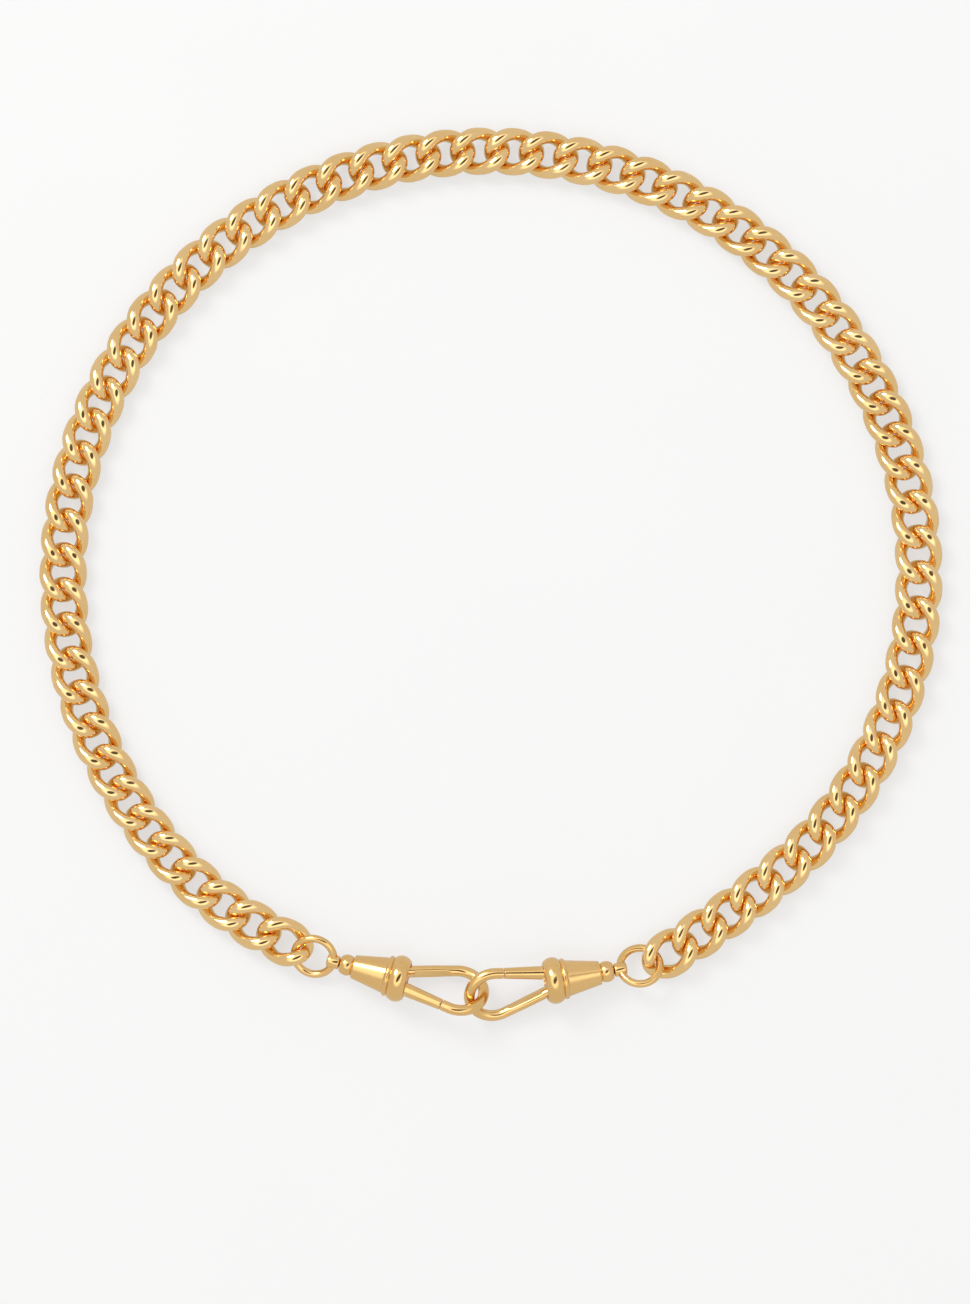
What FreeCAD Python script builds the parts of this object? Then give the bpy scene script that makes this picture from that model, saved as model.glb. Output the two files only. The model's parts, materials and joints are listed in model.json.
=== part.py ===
"""Chain necklace: a curb chain of twisted oval links, closed by two swivel dog clips hooked together.

The necklace lies flat on z = 0 with its box centred on the Z axis, and its clips at -Y. Millimetres.
"""
import FreeCAD, Part
import math
import os

from FreeCAD import Placement, Rotation, Vector

# Chain ------------------------------------------------------------------
WIRE_DIAMETER = 2.08
LINK_INSIDE_LENGTH = 6.12  # the longest pitch that the chain can be pulled to
LINK_WIDTH = 8.05          # across the chain, outside to outside
LINK_TWIST = 47.0          # degrees that each end of a link is turned about its length
LINK_FULLNESS = 0.97       # 1 is an ellipse, lower is squarer
LINK_SPANS = 8             # pairs of arcs that make up one link

# How the chain lies: number of steps from link to link, their pitch, and the degrees turned at each.
# It is pulled taut next to the clips and lies a little slack at the back.
CHAIN_START = (-35.41, -62.29)
CHAIN_START_HEADING = 155.0
CHAIN_RUNS = (
    (4, 6.02, 5.76), (13, 5.89, 4.72), (16, 5.84, 4.62), (16, 5.87, 4.6), (12, 6.02, 5.17), (4, 6.02, 2.41),
)
SINGLE_LINKS_PER_SIDE = 12  # these are a node each, and the rest of the chain is in pairs

# The first and last links climb to the rings of the clips: how far up, and by how many degrees.
# The first pair of each side belongs to the link in the ring, the next one to its neighbour.
LEFT_END_TILTS = ((0.5, 6.5), (0.12, 2.5))
RIGHT_END_TILTS = ((0.13, 2.0),)

# Clips ------------------------------------------------------------------
# u runs from the ring to the nose with 0 at the collar's face, v towards the fixed arm
CLIP_PLACES = {
    "left": {"face": (-14.52, -68.88), "heading": -14.5, "hook_roll": -40.0, "ring_roll": 27.0},
    "right": {"face": (8.82, -69.08), "heading": 189.4, "hook_roll": -30.0, "ring_roll": 29.0},
}
CLIP_RISE = 3.9            # degrees that the nose is higher than the ring

RING_WIRE = 1.3
RING_RADIUS = 3.4          # to the middle of the ring's wire
RING_CENTRE = -16.4

COLLAR_RADIUS = 3.98
COLLAR_LENGTH = 2.95
COLLAR_FACE_RADIUS = 3.2
RIM_RADIUS = 3.5
RIM_FRONT_RADIUS = 3.3
RIM_LENGTH = 0.85
CONE_WIDE_RADIUS = 3.1
CONE_NARROW_RADIUS = 2.0
CONE_END = -9.5
NECK_END = -11.75
NECK_RADIUS = 1.8
NECK_END_RADIUS = 1.3
GROOVE_RADIUS = 1.5
GROOVE_WIDTH = 0.1
FRONT_WALL = 0.55          # the barrel is hollow between the hook's base and the neck
BACK_WALL = 0.65
SEAT_RADIUS = 2.95         # bore of the collar, which takes the hook's base
SEAT_DEPTH = 2.4

HOOK_WIRE = 1.86
HOOK_ARM_V = 2.05
HOOK_NOSE_CENTRE = (8.9, 0.78)
HOOK_NOSE_RADIUS = 4.18
HOOK_FLAT = 0.6            # from the arm's middle to the flat on its inner side
HOOK_FLAT_ENDS = (0.5, 0.7)  # left round at the base and at the nose
HOOK_ROOT_DEPTH = 0.4      # length of the arm inside the base
BASE_FRONT = -0.15
BASE_LENGTH = 2.2

GATE_HINGE = (-0.9, -1.7)
GATE_ROOT_RADIUS = 1.2
GATE_JOINT_U = 6.9         # where the gate meets the nose
GATE_GAP = 0.2
GATE_OPEN = 22.0
GATE_KNUCKLE_RADIUS = 0.85
GATE_KNUCKLE_WIDTH = 1.5
GATE_SIDE_PLAY = 0.1
GATE_SLOT_TOP = -0.3       # how high the slot for the knuckle reaches in the base
TONGUE_LENGTH = 2.0        # joins the knuckle to the rod
TONGUE_THICKNESS = 1.5

PIN_RADIUS = 0.35
PIN_PLAY = 0.05
PIN_LENGTH = 4.2

POST_RADIUS = 0.53
POST_PLAY = 0.07
POST_HEAD_RADIUS = 0.95
POST_HEAD_LENGTH = 0.6
POST_END_PLAY = 0.05
BOSS_RADIUS = 1.15
BOSS_LENGTH = 2.2
BOSS_ROUNDING = 0.4

SPRING_PLAY = 0.03         # between the spring and the knuckle
SPRING_THICKNESS = 0.2
SPRING_WIDTH = 1.3
SPRING_TIP_U = -1.0
SPRING_BEND_U = -5.0
SPRING_END = (-7.8, -1.3)

CUT_MARGIN = 0.5           # how far a cutting tool reaches past what it cuts
CUT_BLOCK = 10.0           # side of the block that trims the gate

X = Vector(1, 0, 0)
Y = Vector(0, 1, 0)
Z = Vector(0, 0, 1)


# Wire work --------------------------------------------------------------
def disc(centre, normal, radius):
    """Round section of a wire."""
    return Part.Face(Part.Wire([Part.Edge(Part.Circle(centre, normal, radius))]))


def joined(solids):
    """One solid from pieces that meet face to face."""
    return solids[0].multiFuse(solids[1:]).removeSplitter().Solids[0]


def arc_between(start, heading, end):
    """Centre, axis and angle of the arc that leaves start along heading and ends at end."""
    chord = end - start
    axis = heading.cross(chord).normalize()
    inward = axis.cross(heading)
    radius = chord.dot(chord) / (2 * chord.dot(inward))
    angle = 2 * math.asin(min(1.0, chord.Length / (2 * radius)))
    return start + inward * radius, axis, math.degrees(angle)


def arc_pair_joint(start, start_heading, end, end_heading):
    """Point where two arcs of a tangent pair meet."""
    chord = end - start
    both = start_heading + end_heading
    bend = 2 * (1 - start_heading.dot(end_heading))
    along = chord.dot(both)
    reach = (math.sqrt(along * along + bend * chord.dot(chord)) - along) / bend
    return (start + start_heading * reach + end - end_heading * reach) * 0.5


# Links ------------------------------------------------------------------
LINK_HALF_LENGTH = (LINK_INSIDE_LENGTH + WIRE_DIAMETER) / 2
LINK_HALF_WIDTH = (LINK_WIDTH - WIRE_DIAMETER) / 2


def link_point(turn):
    """Point of a link's centreline: a full oval, twisted about its length."""
    cos_turn, sin_turn = math.cos(turn), math.sin(turn)
    along = LINK_HALF_LENGTH * math.copysign(abs(cos_turn) ** LINK_FULLNESS, cos_turn)
    across = LINK_HALF_WIDTH * math.copysign(abs(sin_turn) ** LINK_FULLNESS, sin_turn)
    twist = -math.radians(LINK_TWIST) * along / LINK_HALF_LENGTH
    return Vector(along, across * math.cos(twist), across * math.sin(twist))


def link_heading(turn, step=0.001):
    """Direction of a link's centreline."""
    return (link_point(turn + step) - link_point(turn - step)).normalize()


def make_link():
    """One link, lying along X about the origin, as a closed ring of tangent arcs."""
    turns = [2 * math.pi * (i + 0.5) / LINK_SPANS for i in range(LINK_SPANS + 1)]
    pieces = []
    for first, last in zip(turns, turns[1:]):
        start, end = link_point(first), link_point(last)
        heading = link_heading(first)
        middle = arc_pair_joint(start, heading, end, link_heading(last))
        for target in (middle, end):
            centre, axis, angle = arc_between(start, heading, target)
            pieces.append(disc(start, heading, WIRE_DIAMETER / 2).revolve(centre, axis, angle))
            start, heading = target, Rotation(axis, angle).multVec(heading)
    return joined(pieces)


def link_half_height():
    """Height of a link's middle above the surface that it lies on."""
    samples = [link_point(2 * math.pi * i / 360).z for i in range(360)]
    return max(samples) + WIRE_DIAMETER / 2


def link_places():
    """Placement of each link along the chain, from the left clip round to the right clip."""
    x, y = CHAIN_START
    heading = CHAIN_START_HEADING
    stations = [(x, y, heading)]
    for steps, pitch, turn in CHAIN_RUNS:
        half = math.radians(turn / 2)
        chord = pitch * math.sin(half) / half
        for _ in range(steps):
            x += chord * math.cos(math.radians(heading) - half)
            y += chord * math.sin(math.radians(heading) - half)
            heading -= turn
            stations.append((x, y, heading))
    tilts = [(0.0, 0.0)] * len(stations)
    for n, tilt in enumerate(LEFT_END_TILTS):
        tilts[n] = tilt
    for n, (lift, rise) in enumerate(RIGHT_END_TILTS):
        tilts[-1 - n] = (lift, -rise)
    places = []
    for (x, y, heading), (lift, rise) in zip(stations, tilts):
        base = Vector(x, y, link_half_height() + lift)
        places.append(Placement(base, Rotation(Z, heading) * Rotation(Y, rise)))
    return places


def link_groups():
    """Node name and link numbers (from 1) of each node of the chain."""
    count = 1 + sum(steps for steps, _, _ in CHAIN_RUNS)
    singles = SINGLE_LINKS_PER_SIDE
    groups = [(f"link_{n:02d}", [n]) for n in range(1, singles + 1)]
    for n in range(singles + 1, count - singles, 2):
        groups.append((f"links_{n:02d}_{n + 1:02d}", [n, n + 1]))
    groups += [(f"link_{n:02d}", [n]) for n in range(count - singles + 1, count + 1)]
    return groups


# Clips, each made along its own u, v, w and placed afterwards ---------------
def turned(profile):
    """Solid turned about the u axis from a closed half profile."""
    return Part.Face(Part.Wire(profile)).revolve(Vector(), X, 360)


def line(a, b):
    """Straight edge in the u, v plane."""
    return Part.makeLine(Vector(a[0], a[1], 0), Vector(b[0], b[1], 0))


def curve(a, b, c):
    """Arc edge through three points in the u, v plane."""
    return Part.Arc(*[Vector(p[0], p[1], 0) for p in (a, b, c)]).toShape()


def make_barrel():
    """Hollow cone with a neck bead, a thin rim and a rounded collar."""
    bore = POST_RADIUS + POST_PLAY
    rim_back = -COLLAR_LENGTH - RIM_LENGTH
    neck_middle = (NECK_END + CONE_END) / 2
    outside = [
        ((0, SEAT_RADIUS), (0, COLLAR_FACE_RADIUS)),
        ((0, COLLAR_FACE_RADIUS), (-COLLAR_LENGTH / 2, COLLAR_RADIUS), (-COLLAR_LENGTH, RIM_FRONT_RADIUS)),
        ((-COLLAR_LENGTH, RIM_FRONT_RADIUS), (-COLLAR_LENGTH - RIM_LENGTH / 2, RIM_RADIUS),
         (rim_back, CONE_WIDE_RADIUS)),
        ((rim_back, CONE_WIDE_RADIUS), (CONE_END, CONE_NARROW_RADIUS)),
        ((CONE_END, CONE_NARROW_RADIUS), (CONE_END - GROOVE_WIDTH, GROOVE_RADIUS)),
        ((CONE_END - GROOVE_WIDTH, GROOVE_RADIUS), (neck_middle, NECK_RADIUS), (NECK_END, NECK_END_RADIUS)),
        ((NECK_END, NECK_END_RADIUS), (NECK_END, bore)),
    ]
    inside = [
        ((NECK_END, bore), (CONE_END, bore)),
        ((CONE_END, bore), (CONE_END, CONE_NARROW_RADIUS - BACK_WALL)),
        ((CONE_END, CONE_NARROW_RADIUS - BACK_WALL), (-SEAT_DEPTH, CONE_WIDE_RADIUS - FRONT_WALL)),
        ((-SEAT_DEPTH, CONE_WIDE_RADIUS - FRONT_WALL), (-SEAT_DEPTH, SEAT_RADIUS)),
        ((-SEAT_DEPTH, SEAT_RADIUS), (0, SEAT_RADIUS)),
    ]
    edges = [line(*points) if len(points) == 2 else curve(*points) for points in outside + inside]
    return turned(edges)


def tangent_angle(point):
    """Slope in degrees of the line from a point that touches the nose's circle, and its length.

    The line touches the upper side from a point on the arm, the lower side from one on the gate.
    """
    du = HOOK_NOSE_CENTRE[0] - point[0]
    dv = HOOK_NOSE_CENTRE[1] - point[1]
    distance = math.hypot(du, dv)
    side = 1 if point[1] > 0 else -1
    slope = math.degrees(math.atan2(dv, du) + side * math.asin(HOOK_NOSE_RADIUS / distance))
    return slope, math.sqrt(distance ** 2 - HOOK_NOSE_RADIUS ** 2)


def direction(slope):
    """Unit vector in the u, v plane."""
    return Vector(math.cos(math.radians(slope)), math.sin(math.radians(slope)), 0)


def gate_axis():
    """Hinge point, direction and length from hinge to nose joint of the gate's rod."""
    hinge = Vector(*GATE_HINGE, 0)
    slope, _ = tangent_angle(GATE_HINGE)
    run = direction(slope)
    return hinge, run, (GATE_JOINT_U - hinge.x) / run.x


def make_hook():
    """Base plug in the collar, straight fixed arm with a flat inner side, and round nose."""
    radius = HOOK_WIRE / 2
    base = Part.makeCylinder(SEAT_RADIUS, BASE_LENGTH, Vector(BASE_FRONT - BASE_LENGTH, 0, 0), X)
    arm_slope, arm_length = tangent_angle((0, HOOK_ARM_V))
    run = direction(arm_slope)
    arm_start = BASE_FRONT - HOOK_ROOT_DEPTH
    arm = Part.makeCylinder(
        radius, arm_length - arm_start, Vector(0, HOOK_ARM_V, 0) + run * arm_start, run
    )
    flat = Part.makeBox(arm_length - sum(HOOK_FLAT_ENDS), HOOK_WIRE, HOOK_WIRE)
    flat.Placement = Placement(
        Vector(0, HOOK_ARM_V, 0) + run * HOOK_FLAT_ENDS[0], Rotation(Z, arm_slope)
    ).multiply(Placement(Vector(0, -HOOK_FLAT - HOOK_WIRE, -radius), Rotation()))
    arm = arm.cut(flat)

    touch = Vector(0, HOOK_ARM_V, 0) + run * arm_length
    nose_centre = Vector(*HOOK_NOSE_CENTRE, 0)
    hinge, gate_run, joint = gate_axis()
    gate_slope, gate_touch = tangent_angle(GATE_HINGE)
    nose_turn = 180 + arm_slope - gate_slope
    nose = disc(touch, run, radius).revolve(nose_centre, Z * -1, nose_turn)
    tip_start = hinge + gate_run * joint
    tip = Part.makeCylinder(radius, gate_touch - joint, tip_start, gate_run)

    half_slot = GATE_KNUCKLE_WIDTH / 2 + GATE_SIDE_PLAY
    slot_bottom = -SEAT_RADIUS - CUT_MARGIN
    slot = Part.makeBox(
        BASE_LENGTH + 2 * CUT_MARGIN, GATE_SLOT_TOP - slot_bottom, 2 * half_slot,
        Vector(BASE_FRONT - BASE_LENGTH - CUT_MARGIN, slot_bottom, -half_slot),
    )
    pin_hole = Part.makeCylinder(PIN_RADIUS, PIN_LENGTH, hinge - Z * (PIN_LENGTH / 2), Z)
    base = base.cut(slot).cut(pin_hole)
    return joined([base, arm, nose, tip])


def make_gate():
    """Sprung rod that closes the hook, filed at its root to clear the collar when it opens."""
    hinge, run, joint = gate_axis()
    rod = Part.makeCone(GATE_ROOT_RADIUS, HOOK_WIRE / 2, joint - GATE_GAP, hinge, run)
    for opening in (0, GATE_OPEN):
        corner = Vector(BASE_FRONT + GATE_GAP - CUT_BLOCK, -CUT_BLOCK / 2, -CUT_BLOCK / 2)
        behind = Part.makeBox(CUT_BLOCK, CUT_BLOCK, CUT_BLOCK, corner)
        behind.rotate(hinge, Z, -opening)
        rod = rod.cut(behind)
    half_width = GATE_KNUCKLE_WIDTH / 2
    knuckle = Part.makeCylinder(
        GATE_KNUCKLE_RADIUS, GATE_KNUCKLE_WIDTH, hinge - Z * half_width, Z
    )
    tongue = Part.makeBox(
        TONGUE_LENGTH, TONGUE_THICKNESS, GATE_KNUCKLE_WIDTH, Vector(0, -TONGUE_THICKNESS / 2, -half_width)
    )
    tongue.Placement = Placement(hinge, Rotation(X, run)).multiply(tongue.Placement)
    bore = Part.makeCylinder(
        PIN_RADIUS + PIN_PLAY, GATE_KNUCKLE_WIDTH + 2 * CUT_MARGIN, hinge - Z * (half_width + CUT_MARGIN), Z
    )
    return joined([rod, knuckle, tongue]).cut(bore).Solids[0]


def make_gate_pin():
    """Hinge pin of the gate, held in the hook's base."""
    hinge = Vector(*GATE_HINGE, 0)
    return Part.makeCylinder(PIN_RADIUS, PIN_LENGTH, hinge - Z * (PIN_LENGTH / 2), Z)


def make_gate_spring():
    """Leaf spring inside the barrel, whose tip bears on the gate's knuckle."""
    low = GATE_HINGE[1] + GATE_KNUCKLE_RADIUS + SPRING_PLAY
    high = low + SPRING_THICKNESS
    end_u, end_v = SPRING_END
    outline = [
        (SPRING_TIP_U, low), (SPRING_TIP_U, high), (SPRING_BEND_U, high),
        (end_u, end_v + SPRING_THICKNESS), (end_u, end_v), (SPRING_BEND_U, low),
    ]
    edges = [line(a, b) for a, b in zip(outline, outline[1:] + outline[:1])]
    strip = Part.Face(Part.Wire(edges)).extrude(Z * SPRING_WIDTH)
    strip.translate(Z * (-SPRING_WIDTH / 2))
    return strip


def make_swivel_ring():
    """Round wire ring that holds the chain's last link."""
    return Part.makeTorus(RING_RADIUS, RING_WIRE / 2, Vector(RING_CENTRE, 0, 0), Z)


def make_swivel_post():
    """Headed post that turns in the barrel's neck, with a boss bored for the ring's wire."""
    boss_start = RING_CENTRE + RING_RADIUS - BOSS_LENGTH / 2
    head_start = CONE_END + POST_END_PLAY
    boss = Part.makeCylinder(BOSS_RADIUS, BOSS_LENGTH, Vector(boss_start, 0, 0), X)
    boss = boss.makeFillet(BOSS_ROUNDING, boss.Edges)
    shank_length = head_start - boss_start - BOSS_LENGTH / 2
    shank = Part.makeCylinder(
        POST_RADIUS, shank_length, Vector(boss_start + BOSS_LENGTH / 2, 0, 0), X
    )
    head = Part.makeCylinder(POST_HEAD_RADIUS, POST_HEAD_LENGTH, Vector(head_start, 0, 0), X)
    return boss.multiFuse([shank, head]).removeSplitter().cut(make_swivel_ring()).Solids[0]


# Assembly ---------------------------------------------------------------
def clip_place(side, roll):
    """Placement of a clip's own frame, rolled about its length."""
    place = CLIP_PLACES[side]
    lift = math.sin(math.radians(CLIP_RISE)) * COLLAR_LENGTH / 2
    face = Vector(*place["face"], COLLAR_RADIUS + lift)
    turn = Rotation(Z, place["heading"]) * Rotation(Y, -CLIP_RISE) * Rotation(X, roll)
    return Placement(face, turn)


def placed(shape, placement):
    """Copy of a shape at a placement."""
    copy = shape.copy()
    copy.Placement = placement.multiply(copy.Placement)
    return copy


def make_nodes():
    """Every node of the necklace by name, each a solid or a compound of separate solids."""
    nodes = {}
    link = make_link()
    places = link_places()
    for name, numbers in link_groups():
        solids = [placed(link, places[n - 1]) for n in numbers]
        nodes[name] = solids[0] if len(solids) == 1 else Part.makeCompound(solids)
    clip_pieces = {
        "clip_barrel": (make_barrel(), "hook_roll"),
        "clip_hook": (make_hook(), "hook_roll"),
        "clip_gate": (make_gate(), "hook_roll"),
        "gate_pin": (make_gate_pin(), "hook_roll"),
        "gate_spring": (make_gate_spring(), "hook_roll"),
        "swivel_ring": (make_swivel_ring(), "ring_roll"),
        "swivel_post": (make_swivel_post(), "ring_roll"),
    }
    for side, place in CLIP_PLACES.items():
        for piece, (shape, roll) in clip_pieces.items():
            nodes[f"{side}_{piece}"] = placed(shape, clip_place(side, place[roll]))
    return nodes


def centring(nodes):
    """Shift that puts the middle of the necklace's box on the Z axis and its underside on z = 0."""
    box = Part.makeCompound(list(nodes.values())).optimalBoundingBox(False)
    return Vector(-(box.XMin + box.XMax) / 2, -(box.YMin + box.YMax) / 2, -box.ZMin)


def main():
    """Write one STEP file for each node."""
    os.makedirs("parts", exist_ok=True)
    nodes = make_nodes()
    shift = centring(nodes)
    for name, shape in nodes.items():
        shape.translate(shift)
        shape.exportStep(f"parts/{name}.step")
    box = Part.makeCompound(list(nodes.values())).optimalBoundingBox(False)
    print(f"{len(nodes)} nodes, shift {shift}, box {box}")


if __name__ == "__main__":
    main()
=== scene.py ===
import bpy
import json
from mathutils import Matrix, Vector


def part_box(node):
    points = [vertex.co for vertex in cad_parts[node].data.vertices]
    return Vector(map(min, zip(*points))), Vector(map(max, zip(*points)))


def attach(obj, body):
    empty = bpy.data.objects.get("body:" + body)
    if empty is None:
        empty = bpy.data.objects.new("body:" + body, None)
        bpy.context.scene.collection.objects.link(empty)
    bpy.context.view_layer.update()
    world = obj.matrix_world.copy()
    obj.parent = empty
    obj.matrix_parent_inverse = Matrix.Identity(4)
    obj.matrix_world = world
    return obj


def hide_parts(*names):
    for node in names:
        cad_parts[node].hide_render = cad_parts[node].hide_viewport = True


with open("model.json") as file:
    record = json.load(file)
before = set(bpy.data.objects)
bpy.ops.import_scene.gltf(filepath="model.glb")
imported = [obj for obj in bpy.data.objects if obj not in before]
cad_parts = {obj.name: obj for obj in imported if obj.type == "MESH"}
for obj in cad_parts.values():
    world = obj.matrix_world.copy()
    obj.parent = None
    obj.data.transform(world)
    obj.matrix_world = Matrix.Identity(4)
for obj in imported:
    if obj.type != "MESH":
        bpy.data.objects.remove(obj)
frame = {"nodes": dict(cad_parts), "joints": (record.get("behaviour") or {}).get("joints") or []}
"""A curb chain necklace whose two snap clips are hooked into each other, lying on a pale floor.

Sizes are in millimetres in each piece's own frame, and become metres when its mesh is placed. Where
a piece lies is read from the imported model: a link or ring from its solid, a clip from its joints.
"""
import json
import logging
import math
from dataclasses import dataclass, field
from enum import Enum
from typing import Callable, Sequence

import bmesh
import bpy
import numpy as np
from mathutils import Matrix, Vector

MM = 0.001
FULL_TURN = 2 * math.pi
AXIS_RADIUS = 0.02  # where a turned end closes, in millimetres: too small to be seen
LOG = logging.getLogger("necklace")
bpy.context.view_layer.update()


# Geometry ---------------------------------------------------------------
def ease(share: float) -> float:
    """Run smoothly from 0 to 1 as the share does, and stay level outside.

    Args:
        share: How far along the change is.

    Returns:
        The eased share.
    """
    share = min(max(share, 0.0), 1.0)
    return share * share * (3 - 2 * share)


@dataclass(frozen=True)
class Shell:
    """Points, faces and face-corner coordinates of one closed surface, in millimetres.

    Args:
        points: Vertex positions in the piece's own frame.
        faces: Vertex numbers of each face.
        corners: For each face, one (along, around) coordinate for each of its vertices.
    """

    points: list[Vector]
    faces: list[tuple[int, ...]]
    corners: list[tuple[tuple[float, float], ...]]

    def moved(self, matrix: Matrix) -> "Shell":
        """Return this shell with its points taken through a matrix."""
        return Shell([matrix @ p for p in self.points], self.faces, self.corners)


def grid_shell(rows: Sequence[Sequence[Vector]], closed: bool) -> Shell:
    """Skin a list of rings of points.

    Args:
        rows: Rings with the same number of points each, in order along the piece.
        closed: True if the last ring meets the first one, False if the ends are capped.

    Returns:
        The shell, with coordinates that run from 0 to 1 along and around it.
    """
    count, sides = len(rows), len(rows[0])
    points = [p for row in rows for p in row]
    faces, corners = [], []
    for i in range(count if closed else count - 1):
        below, above = i * sides, (i + 1) % count * sides
        for j in range(sides):
            k = (j + 1) % sides
            faces.append((below + j, below + k, above + k, above + j))
            low, high = i / count, (i + 1) / count
            left, right = j / sides, (j + 1) / sides
            corners.append(((low, left), (low, right), (high, right), (high, left)))
    if not closed:
        for first, order in ((0, -1), ((count - 1) * sides, 1)):
            ring = tuple(first + j for j in range(sides))[::order]
            faces.append(ring)
            corners.append(tuple((0.0, j / sides) for j in range(sides)))
    return Shell(points, faces, corners)


def swept(path: Sequence[Vector], section: Callable[[int], Sequence[tuple[float, float]]],
          up: Vector, closed: bool = False) -> Shell:
    """Sweep a section along a path, keeping it upright.

    Args:
        path: Middle points of the piece.
        section: Gives the outline at a station as (across, up) pairs.
        up: Direction that the section's second coordinate leans towards.
        closed: True for a path that ends where it starts.

    Returns:
        The swept shell.
    """
    count = len(path)
    rows = []
    for i, middle in enumerate(path):
        before = path[i - 1] if closed or i else path[0]
        after = path[(i + 1) % count] if closed or i < count - 1 else path[-1]
        ahead = (after - before).normalized()
        across = ahead.cross(up).normalized()
        upright = across.cross(ahead)
        rows.append([middle + across * a + upright * b for a, b in section(i)])
    return grid_shell(rows, closed)


def turned(profile: Sequence[tuple[float, float]], sides: int = 128) -> Shell:
    """Turn a profile about the u axis.

    Args:
        profile: (u, radius) pairs from one end to the other; a closed loop repeats its first pair.
        sides: Number of faces around.

    Returns:
        The turned shell.
    """
    loop = profile[0] == profile[-1]
    outline = profile[:-1] if loop else profile
    angles = [FULL_TURN * j / sides for j in range(sides)]
    rows = [[Vector((u, r * math.cos(a), -r * math.sin(a))) for a in angles] for u, r in outline]
    return grid_shell(rows, loop)


def arc_points(start: tuple[float, float], through: tuple[float, float], end: tuple[float, float],
               count: int = 12) -> list[tuple[float, float]]:
    """Divide the circular arc through three points.

    Args:
        start: One end.
        through: A point between the ends.
        end: The other end.
        count: Number of points.

    Returns:
        The points, both ends included.
    """
    (ax, ay), (bx, by), (cx, cy) = start, through, end
    d = 2 * (ax * (by - cy) + bx * (cy - ay) + cx * (ay - by))
    a2, b2, c2 = ax * ax + ay * ay, bx * bx + by * by, cx * cx + cy * cy
    ux = (a2 * (by - cy) + b2 * (cy - ay) + c2 * (ay - by)) / d
    uy = (a2 * (cx - bx) + b2 * (ax - cx) + c2 * (bx - ax)) / d
    radius = math.hypot(ax - ux, ay - uy)
    first = math.atan2(ay - uy, ax - ux)
    sweep = math.atan2(cy - uy, cx - ux) - first
    middle = math.atan2(by - uy, bx - ux) - first
    if (middle % FULL_TURN) > (sweep % FULL_TURN):
        sweep = sweep % FULL_TURN - FULL_TURN
    else:
        sweep %= FULL_TURN
    angles = [first + sweep * i / (count - 1) for i in range(count)]
    return [(ux + radius * math.cos(a), uy + radius * math.sin(a)) for a in angles]


def softened(profile: Sequence[tuple[float, float]], radius: float, limit: float = 20.0,
             shortest: float = 1e-6, most: float = 0.45) -> list[tuple[float, float]]:
    """Round the sharp corners of an outline.

    Args:
        profile: Points of the outline; a closed loop repeats its first point.
        radius: How far from a corner the rounding starts.
        limit: Corners that turn less than this many degrees stay.
        shortest: Corners with a shorter side than this stay.
        most: Greatest share of a side that one rounding takes.

    Returns:
        The outline with three points at each rounded corner, closed if it was closed.
    """
    loop = profile[0] == profile[-1]
    points = [Vector(p) for p in (profile[:-1] if loop else profile)]
    result: list[tuple[float, float]] = []
    for i, point in enumerate(points):
        at_end = not loop and i in (0, len(points) - 1)
        before, after = points[i - 1], points[(i + 1) % len(points)]
        a, b = before - point, after - point
        doubled = min(a.length, b.length) < shortest
        if at_end or doubled or 180 - math.degrees(a.angle(b)) < limit:
            result.append(tuple(point))
            continue
        reach = min(radius, a.length * most, b.length * most)
        start, end = point + a.normalized() * reach, point + b.normalized() * reach
        middle = (start + end) * 0.25 + point * 0.5
        result += [tuple(start), tuple(middle), tuple(end)]
    return result + [result[0]] if loop else result


def solids_of(node: str, weld: float = 1e-7) -> list[np.ndarray]:
    """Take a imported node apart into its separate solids.

    Args:
        node: The node's name.
        weld: Vertices closer than this many metres are one.

    Returns:
        The triangles of each solid, as arrays of (triangle, corner, xyz) in metres.
    """
    mesh = bmesh.new()
    mesh.from_mesh(frame["nodes"][node].data)
    bmesh.ops.remove_doubles(mesh, verts=mesh.verts, dist=weld)
    bmesh.ops.triangulate(mesh, faces=mesh.faces)
    mesh.verts.ensure_lookup_table()
    unseen = set(mesh.verts)
    solids = []
    while unseen:
        found, queue = set(), [next(iter(unseen))]
        while queue:
            vertex = queue.pop()
            if vertex not in found:
                found.add(vertex)
                queue += [edge.other_vert(vertex) for edge in vertex.link_edges]
        unseen -= found
        faces = {f for v in found for f in v.link_faces}
        solids.append(np.array([[tuple(v.co) for v in f.verts] for f in faces]))
    mesh.free()
    return solids


def solid_frame(triangles: np.ndarray) -> Matrix:
    """Frame of a solid: its middle, and its axes from the longest spread of mass to the shortest.

    Args:
        triangles: The solid's triangles, facing outwards, in metres.

    Returns:
        Matrix from the solid's own frame, in millimetres, to the row frame, in metres.
    """
    volumes = np.einsum("ij,ij->i", triangles[:, 0], np.cross(triangles[:, 1], triangles[:, 2])) / 6
    centroids = triangles.sum(1) / 4
    middle = (volumes[:, None] * centroids).sum(0) / volumes.sum()
    shifted = triangles - middle
    volumes = np.einsum("ij,ij->i", shifted[:, 0], np.cross(shifted[:, 1], shifted[:, 2])) / 6
    total = shifted.sum(1)
    spread = np.einsum("n,ni,nj->ij", volumes, total, total)
    spread += np.einsum("n,nki,nkj->ij", volumes, shifted, shifted)
    _, axes = np.linalg.eigh(spread)
    longest, across = axes[:, 2], axes[:, 1]
    columns = (longest, across, np.cross(longest, across))
    matrix = Matrix([[c[i] for c in columns] + [middle[i] / MM] for i in range(3)] + [[0, 0, 0, 1]])
    return Matrix.Scale(MM, 4) @ matrix


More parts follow.
